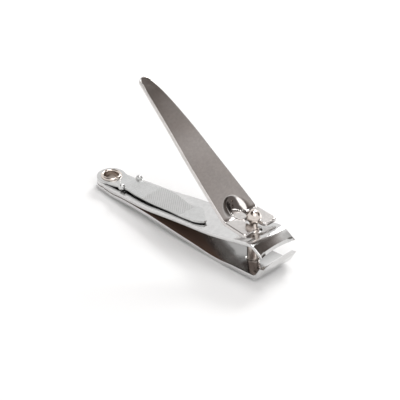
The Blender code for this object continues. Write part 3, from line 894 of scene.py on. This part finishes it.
class LeverShape:
    """The lever's side view and the thumb pocket pressed into it."""

    def __init__(self):
        sizes = settings("clipper_lever")
        self.strip = in_mm(sizes.strip)
        handle, toe = LEVER_TOP[:-1], LEVER_TOP[-1]
        bend = LEVER_TOP[-2]
        size = in_mm(sizes.bend)
        top = curve_through(handle)
        x = np.arange(handle[0][0], bend[0] - size, SAMPLE)
        upper = np.stack([x, top(x)], axis=1)
        corner = rounded_corner(upper[-1], bend, toe, size)
        line = np.concatenate([upper, corner[1:], [toe]])
        self.view = SideView(line)
        self.half_width = in_mm(sizes.pocket_width)

    def pressed(self, height, x, y, grow):
        """Height of the strip's face after the pocket is pressed in.

        A wide rim lies between an outer and an inner oval, and across it the depth grows faster
        and faster. A steep wall leads from the inner oval to a nearly level floor.
        """
        def oval(front, rear, half_width):
            length = np.where(x > POCKET_X, front, rear) + grow
            return np.hypot((x - POCKET_X) / length, y / (half_width + grow))

        outer = oval(RIM_FRONT, RIM_REAR, RIM_HALF_WIDTH)
        inner = oval(WELL_FRONT, WELL_REAR, self.half_width)
        t = np.clip((1 - outer) / np.maximum(inner - outer, 1e-6), 0.0, 1.0)
        rim = RIM_SHARE * np.where(inner < 1, 1.0, t) ** RIM_CURVE
        wall = (1 - RIM_SHARE) * smooth_step(1 - inner, 0.0, WALL_SHARE)
        fall = FLOOR_FALL * np.clip(POCKET_X + FLOOR_LEVEL - x, 0.0, None)
        floor = POCKET_FLOOR - grow * FLOOR_GROWTH + fall
        return height - np.clip(height - floor, 0.0, None) * (rim + wall)

    def place(self, points, depth):
        side = self.view.at(points[:, 0], 0.0)
        under = self.view.at(points[:, 0], -self.strip)
        y = points[:, 1]
        top = self.pressed(side[:, 1], side[:, 0], y, 0.0)
        bottom = self.pressed(under[:, 1], under[:, 0], y, POCKET_GROWTH)
        t = depth / self.strip
        x = side[:, 0] * (1 - t) + under[:, 0] * t
        return np.stack([x, y, top * (1 - t) + bottom * t], axis=1)


def lever_blank(shape):
    """Two half blanks that share the middle line up to the slot; the slot and the mouth are arcs."""
    sizes = settings("clipper_lever")
    view = shape.view
    width = curve_through(LEVER_PLAN)
    start = float(view.run_at(LEVER_PLAN[0][0]))
    end = float(view.run[-1])
    slot_rear = float(view.run_at(PIN_X - in_mm(sizes.slot_rear)))
    slot, mouth, corner = in_mm(sizes.slot), in_mm(sizes.mouth), in_mm(sizes.foot_corner)
    tip = in_mm(sizes.tip)
    pocket = float(view.run_at(POCKET_X - RIM_REAR - 0.5))
    handle = np.linspace(start, pocket, HANDLE_ROWS)[:-1]
    turn = np.radians([0.0, 14.0, 28.0, 42.0, 56.0, 72.0, 90.0])
    mouth_turn = np.radians([0.0, 15.0, 30.0, 45.0, 60.0, 75.0, 90.0])

    def patches(inset):
        slot_now = slot + inset
        centre = slot_rear + slot
        front = end - inset
        opening = mouth - slot
        arc_run = centre - slot_now * np.cos(turn)
        straight = np.linspace(centre, end - opening, SLOT_ROWS)[1:-1]
        mouth_run = end - opening + (opening - inset) * np.sin(mouth_turn)
        solid = np.concatenate([handle, np.linspace(pocket, slot_rear - inset, POCKET_ROWS)[:-1]])
        run = np.concatenate([solid, arc_run, straight, mouth_run])
        gap = np.concatenate([0 * solid, slot_now * np.sin(turn), slot_now + 0 * straight,
                              slot_now + (opening - inset) * (1 - np.cos(mouth_turn))])
        side = width(view.x_at(run)) - inset
        near_front = np.clip((run - (front - corner)) / corner, 0.0, 1.0)
        side = side - corner * (1 - np.sqrt(np.clip(1 - near_front ** 2, 0.0, 1.0)))
        y = between(gap, side)
        reach = (tip - inset) * np.sqrt(np.clip(1 - (y / side[:, None]) ** 2, 0.0, 1.0))
        fade = np.clip(1 - (run - start) / (3 * tip), 0.0, 1.0) ** 2
        along = run[:, None] - reach * fade[:, None]
        far = np.stack([along.ravel(), y.ravel()], axis=1)
        near = far.reshape(len(run), COLUMNS + 1, 2)[:, ::-1].reshape(-1, 2) * (1, -1)
        return [(near, grid_quads, len(run)), (far, grid_quads, len(run))]

    return Blank(patches)


# ---------------------------------------------------------------- file

def file_blank(view, tip_x):
    """Layout of the file: holed rear patch, then rows between the near and the far edge."""
    sizes = settings("clipper_arms")
    near = curve_through([(x, -y) for x, y in FILE_NEAR_EDGE], 0.35)
    far = curve_through(FILE_FAR_EDGE, 0.35)

    def patches(inset):
        def low(run):
            return near(view.x_at(run)) + inset

        def high(run):
            return far(view.x_at(run)) - inset

        rear = rear_outline(in_mm(sizes.rear_radius) - inset, low, high, FILE_REAR_TURN)
        run = np.linspace(REAR_RUN, float(view.run_at(tip_x)) - inset, FILE_ROWS)
        return [
            (holed_patch(rear, 0.0, in_mm(sizes.eyelet_hole) + inset), ring_quads, len(rear)),
            (across(run, low(run), high(run)), grid_quads, len(run)),
        ]

    return Blank(patches)


# ---------------------------------------------------------------- operators

class ClipperOperator(bpy.types.Operator):
    bl_options = {"REGISTER", "UNDO"}


class CLIPPER_OT_finishes(ClipperOperator):
    """Makes the shared effects and the metals"""
    bl_idname = "clipper.finishes"
    bl_label = "Finishes"

    def execute(self, context):
        for make in EFFECTS:
            make()
        colours = settings("clipper_finishes")
        for name, inside in (("lower_chrome", 1.0), ("upper_chrome", -1.0)):
            metal(name, colours.chrome, 0.09)
            # painted shade on the inner faces between the arms
            paint_inside_shade(name, inside)
        metal("lever_finish", colours.lever_chrome, 0.13, haze=0.05, scratches=0.25)
        # painted shade on the steep wall of the lever's pocket
        paint_pocket_wall_shade()
        metal("nickel_finish", colours.nickel, 0.12, scratches=0.4)
        file_metal("file_finish", colours.steel)
        return {"FINISHED"}


class CLIPPER_OT_lower_arm(ClipperOperator):
    """Makes the lower spring arm with its ground jaw"""
    bl_idname = "clipper.lower_arm"
    bl_label = "Lower arm"

    def execute(self, context):
        sizes = settings("clipper_arms")
        shape = ArmShape(LOWER_UNDERSIDE, LOWER_LIP, in_mm(sizes.lower_bend), LOWER_EDGE, False)
        arm = make_arm("lower_strip", shape, in_mm(sizes.lower_pin_hole), "lower_chrome")
        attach(arm, "lower_jaw")
        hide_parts("lower_arm")
        return {"FINISHED"}


class CLIPPER_OT_upper_arm(ClipperOperator):
    """Makes the upper spring arm as one strip that bends where it flexes"""
    bl_idname = "clipper.upper_arm"
    bl_label = "Upper arm"
    FLEX = 6.0

    def execute(self, context):
        sizes = settings("clipper_arms")
        shape = ArmShape(UPPER_UNDERSIDE, UPPER_LIP, in_mm(sizes.upper_bend), UPPER_EDGE, True, LIP_CROWN)
        arm = make_arm("upper_strip", shape, in_mm(sizes.upper_pin_hole), "upper_chrome", 1.06)
        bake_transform(arm)
        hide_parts("upper_arm_root", "upper_arm")
        return {"FINISHED"}


class CLIPPER_OT_lever(ClipperOperator):
    """Makes the pressing lever with its thumb pocket and slotted foot"""
    bl_idname = "clipper.lever"
    bl_label = "Lever"

    def execute(self, context):
        sizes = settings("clipper_lever")
        shape = LeverShape()
        points, faces = solid_from_blank(lever_blank(shape), shape.place, shape.strip, in_mm(sizes.edge))
        lever = put_in_scene("press_lever", points, faces, "lever_finish")
        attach(lever, "lever")
        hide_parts("lever")
        return {"FINISHED"}


class CLIPPER_OT_file(ClipperOperator):
    """Makes the nail file with its hooked tip and its two pressed tabs"""
    bl_idname = "clipper.file"
    bl_label = "Nail file"
    TIP_X = 38.95
    TAB_PLACE = (7.6, 3.15)
    TAB_RISE = 0.35

    def execute(self, context):
        sizes = settings("clipper_file")
        strip = in_mm(sizes.strip)
        bottom = curve_through(FILE_BOTTOM, 0.8)
        x = np.arange(FILE_BOTTOM[0][0], FILE_BOTTOM[-1][0], SAMPLE)
        view = SideView(np.stack([x, bottom(x) + strip / 2], axis=1))

        def place(points, depth):
            side = view.at(points[:, 0], strip / 2 - depth)
            return np.stack([side[:, 0], points[:, 1], side[:, 1]], axis=1)

        points, faces = solid_from_blank(file_blank(view, self.TIP_X), place, strip, in_mm(sizes.edge))
        blade = put_in_scene("file_blade", points, faces, "file_finish")
        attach(blade, "file")
        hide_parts("nail_file")
        tab_x, tab_y = self.TAB_PLACE
        height = float(bottom(tab_x)) + strip / 2 + self.TAB_RISE
        radius = in_mm(sizes.tab)
        ball, ball_faces = turned(arc((0.0, 0.0), radius, 90, -90, 13), 32)
        for name, side in (("near_tab", -1), ("far_tab", 1)):
            tab = put_in_scene(name, ball + (tab_x, side * tab_y, height), ball_faces,
                               "file_finish")
            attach(tab, "file")
        return {"FINISHED"}


class CLIPPER_OT_pin(ClipperOperator):
    """Makes the turned pin: ball head, neck, shank and flange"""
    bl_idname = "clipper.pin"
    bl_label = "Pin"
    SHANK_TOP = 10.0

    def execute(self, context):
        sizes = settings("clipper_rivets")
        low, high = (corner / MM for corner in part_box("pin"))
        ball, neck, shank, flange = (in_mm(v) for v in (sizes.ball, sizes.neck, sizes.shank, sizes.flange))
        middle = high.z - ball
        under = math.degrees(math.asin(neck / ball))
        head = arc((0.0, middle), ball, 90, -90 + under + 6, 26)
        shank_top = self.SHANK_TOP
        profile = np.concatenate([
            head,
            [(neck + 0.03, head[-1, 1] - 0.16), (neck, head[-1, 1] - 0.32)],
            [(neck, shank_top + 0.62), (neck + 0.06, shank_top + 0.45)],
            arc((shank - 0.18, shank_top + 0.1), 0.18, 70, 0, 5),
            np.stack([np.full(9, shank), np.linspace(shank_top - 0.1, low.z + 0.4, 9)], axis=1),
            arc((flange - 0.12, low.z + 0.16), 0.12, 80, -80, 7),
            [(0.0, low.z)],
        ])
        profile[0, 0] = 0.0
        points, faces = turned(profile)
        pin = put_in_scene("ball_pin", points + (PIN_X, 0.0, 0.0), faces, "nickel_finish",
                           sharp=50.0)
        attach(pin, "pin")
        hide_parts("pin")
        return {"FINISHED"}


class CLIPPER_OT_eyelet(ClipperOperator):
    """Makes the rolled hollow rivet at the rear"""
    bl_idname = "clipper.eyelet"
    bl_label = "Eyelet"

    def execute(self, context):
        sizes = settings("clipper_rivets")
        low, high = (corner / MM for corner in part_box("eyelet"))
        bore, tube, rim = in_mm(sizes.bore), in_mm(sizes.tube), in_mm(sizes.rim)
        roll = (rim - bore) / 2
        middle = (rim + bore) / 2
        over = arc((middle, high.z - roll), roll, 175, -25, 19)
        rise = LOWER_UNDERSIDE[0][1] - LOWER_RIM_GAP - low.z
        under = arc((0.0, 0.0), 1.0, 20, -175, 17) * (roll, rise) + (middle, low.z + rise)
        inside = np.array([(tube, high.z - roll - 0.1), (tube, low.z + rise + 0.12)])
        points, faces = turned(np.concatenate([over, inside, under]), 96)
        eyelet = put_in_scene("rear_eyelet", points, faces, "nickel_finish", sharp=50.0)
        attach(eyelet, "lower_jaw")
        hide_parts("eyelet")
        return {"FINISHED"}


class CLIPPER_OT_stage(ClipperOperator):
    """Makes the floor, the soft studio light and the camera"""
    bl_idname = "clipper.stage"
    bl_label = "Stage"

    def execute(self, context):
        stage = settings("clipper_stage")
        make_floor(stage)
        make_sky()
        make_lights()
        make_camera(stage)
        return {"FINISHED"}


def make_floor(stage):
    half = 3.0
    corners = [(-half, -half, 0), (half, -half, 0), (half, half, 0), (-half, half, 0)]
    mesh = bpy.data.meshes.new("floor")
    mesh.from_pydata(corners, [], [(0, 1, 2, 3)])
    floor = linked("floor", mesh)
    floor.location.z = -0.00002
    material = bpy.data.materials.new("floor_paper")
    material.use_nodes = True
    tree, shader = shader_in("floor_paper")
    grain = noise(tree, add_node(tree, "TexCoord").outputs["Object"], 900.0, 2.0)
    speckled = colour4(stage.floor, 0.97)
    tone = tinted(tree, multiplied(tree, grain, 0.2), colour4(stage.floor), speckled)
    tree.links.new(tone, shader.inputs["Base Color"])
    shader.inputs["Roughness"].default_value = 0.6
    shader.inputs["Specular IOR Level"].default_value = 0.2
    mesh.materials.append(material)


def make_sky():
    """Studio surroundings: bright towards the horizon, brown overhead and in one patch at the rear right."""
    scene = bpy.context.scene
    world = bpy.data.worlds.new("studio")
    scene.world = world
    world.use_nodes = True
    tree = world.node_tree
    tree.nodes.clear()
    way = add_node(tree, "TexCoord").outputs["Generated"]
    ramp = add_node(tree, "ValToRGB", {"Fac": part_of(tree, way, "Z")})
    stops = ramp.color_ramp.elements
    for place, shade in SKY_STOPS:
        ends = {0.0: stops[0], 1.0: stops[-1]}
        stop = ends[place] if place in ends else stops.new(place)
        stop.color = shade + (1.0,)
    towards = add_node(tree, "VectorMath", {0: way, 1: DARK_WAY}, operation="DOT_PRODUCT")
    dark_side = ranged(tree, towards.outputs["Value"], 0.88, 0.95)
    colour = tinted(tree, dark_side, ramp.outputs["Color"], SKY_DARK)
    light = add_node(tree, "Background", {"Color": colour, "Strength": 1.0})
    out = tree.nodes.new("ShaderNodeOutputWorld")
    tree.links.new(light.outputs[0], out.inputs["Surface"])
    scene.view_settings.view_transform = "Standard"


def make_lights():
    """Three round soft boxes, all turned towards the clipper."""
    for name, azimuth, elevation, size, power in SOFT_BOXES:
        light = bpy.data.lights.new(name, "AREA")
        light.shape = "DISK"
        light.size = size
        light.energy = power
        obj = linked(name, light)
        way = direction(math.radians(azimuth), math.radians(elevation))
        obj.location = way
        obj.rotation_euler = way.to_track_quat("Z", "Y").to_euler()


def direction(azimuth, elevation):
    """Way from the clipper: azimuth 0 is towards -Y, and grows towards +X."""
    flat = math.cos(elevation)
    return Vector((math.sin(azimuth) * flat, -math.cos(azimuth) * flat, math.sin(elevation)))


def make_camera(stage):
    data = bpy.data.cameras.new("camera")
    data.sensor_width = 36.0
    data.lens = stage.lens
    data.clip_start = 0.01
    camera = linked("camera", data)
    way = direction(stage.azimuth, stage.elevation)
    camera.location = Vector(stage.aim) + way * stage.distance
    camera.rotation_euler = way.to_track_quat("Z", "Y").to_euler()
    bpy.context.scene.camera = camera


class CLIPPER_PT_panel(bpy.types.Panel):
    """Lists the clipper's sizes and the steps that build it"""
    bl_idname = "CLIPPER_PT_panel"
    bl_label = "Nail clipper"
    bl_space_type = "VIEW_3D"
    bl_region_type = "UI"
    bl_category = "Clipper"

    def draw(self, context):
        for name, group in GROUPS.items():
            box = self.layout.box()
            box.label(text=group.__doc__)
            for prop in group.__annotations__:
                box.prop(getattr(context.scene, name), prop)
        for step in STEPS:
            self.layout.operator(step.bl_idname)


GROUPS = {
    "clipper_arms": ClipperArmSizes,
    "clipper_lever": ClipperLeverSizes,
    "clipper_file": ClipperFileSizes,
    "clipper_rivets": ClipperRivetSizes,
    "clipper_finishes": ClipperFinishes,
    "clipper_stage": ClipperStage,
}
STEPS = (
    CLIPPER_OT_finishes,
    CLIPPER_OT_lower_arm,
    CLIPPER_OT_upper_arm,
    CLIPPER_OT_lever,
    CLIPPER_OT_file,
    CLIPPER_OT_pin,
    CLIPPER_OT_eyelet,
    CLIPPER_OT_stage,
)


def register():
    for group in GROUPS.values():
        bpy.utils.register_class(group)
    for name, group in GROUPS.items():
        setattr(bpy.types.Scene, name, bpy.props.PointerProperty(type=group))
    for step in STEPS:
        bpy.utils.register_class(step)
    bpy.utils.register_class(CLIPPER_PT_panel)


def unregister():
    bpy.utils.unregister_class(CLIPPER_PT_panel)
    for step in reversed(STEPS):
        bpy.utils.unregister_class(step)
    for name in GROUPS:
        delattr(bpy.types.Scene, name)
    for group in reversed(GROUPS.values()):
        bpy.utils.unregister_class(group)


def main():
    register()
    for step in STEPS:
        group, action = step.bl_idname.split(".")
        getattr(getattr(bpy.ops, group), action)()


if __name__ == "__main__":
    main()
